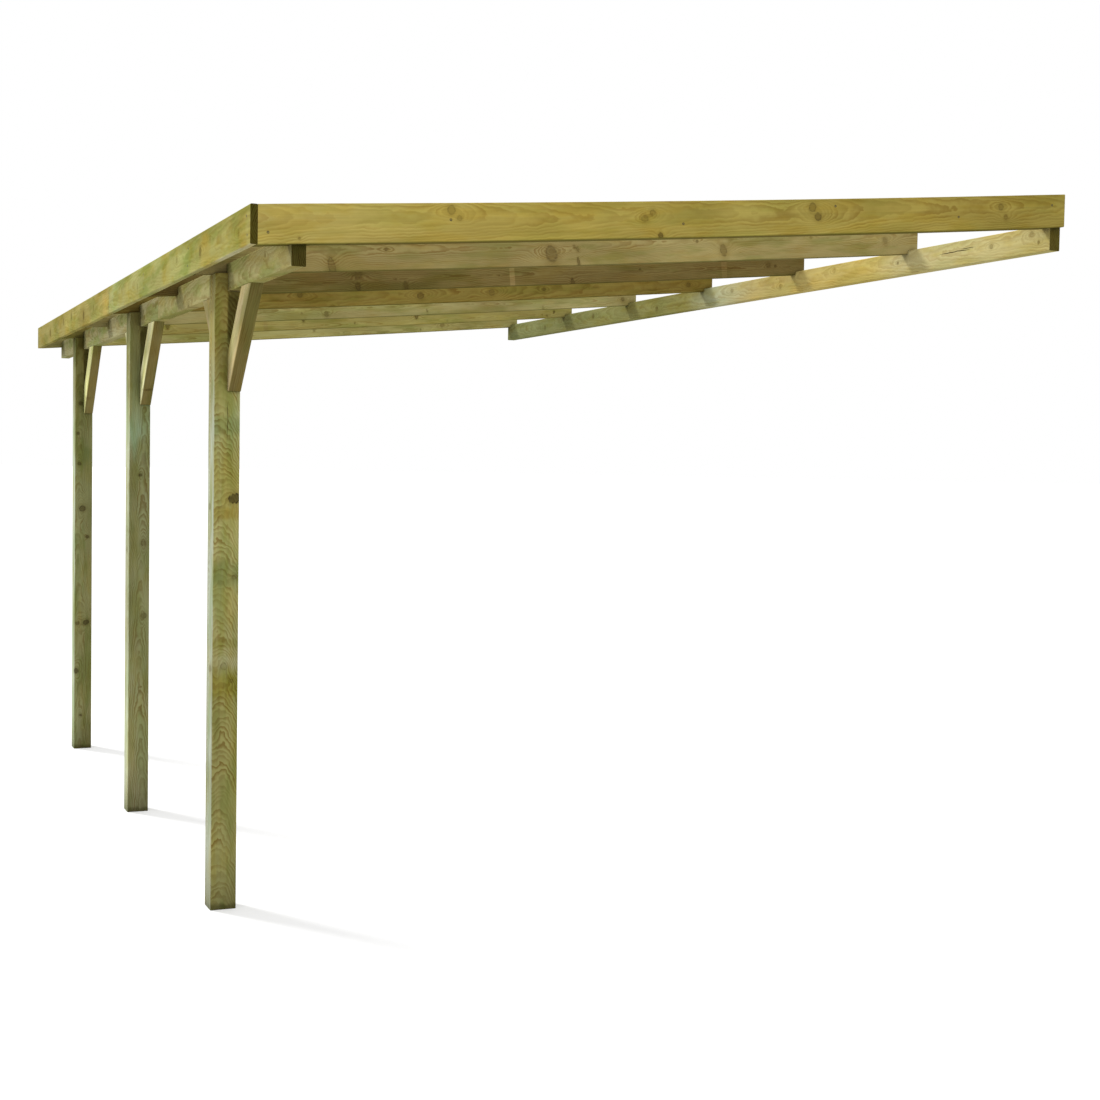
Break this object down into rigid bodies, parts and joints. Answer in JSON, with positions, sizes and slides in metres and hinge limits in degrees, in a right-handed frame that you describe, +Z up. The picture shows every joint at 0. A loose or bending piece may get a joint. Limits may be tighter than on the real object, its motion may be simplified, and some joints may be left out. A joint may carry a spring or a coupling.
{
  "type": "lean-to carport frame",
  "caption": "Lean-to timber carport frame: notched square posts with knee braces carry an outer beam, joists run to a wall ledger, and fascia boards close the roof edge.",
  "frame": {"origin": "centre of the wall ledger's outer face, the face that bears on the house wall", "axes": "+X into the wall, +Y along the carport from its front to its rear, +Z up"},
  "size_m": [2.98, 5.249, 2.5776],
  "materials": {
    "post_timber": "green-tinted pressure-treated softwood, sawn and planed, matt",
    "beam_timber": "green-tinted pressure-treated softwood, sawn and planed, matt",
    "ledger_timber": "green-tinted pressure-treated softwood, sawn and planed, matt",
    "brace_timber": "green-tinted pressure-treated softwood, sawn and planed, matt",
    "joist_timber": "green-tinted pressure-treated softwood, sawn and planed, matt",
    "fascia_timber": "green-tinted pressure-treated softwood, sawn and planed, matt"
  },
  "bodies": {
    "root": {"post_front": "post_timber", "post_middle": "post_timber", "post_rear": "post_timber", "outer_beam_front": "beam_timber", "outer_beam_rear": "beam_timber", "wall_ledger": "ledger_timber", "brace_front_front": "brace_timber", "brace_front_rear": "brace_timber", "brace_middle_front": "brace_timber", "brace_middle_rear": "brace_timber", "brace_rear_front": "brace_timber", "brace_rear_rear": "brace_timber", "joist_0": "joist_timber", "joist_1": "joist_timber", "joist_2": "joist_timber", "joist_3": "joist_timber", "joist_4": "joist_timber", "joist_5": "joist_timber", "joist_6": "joist_timber", "front_fascia": "fascia_timber", "rear_fascia": "fascia_timber", "side_fascia_front": "fascia_timber", "side_fascia_rear": "fascia_timber"}
  },
  "joints": []
}
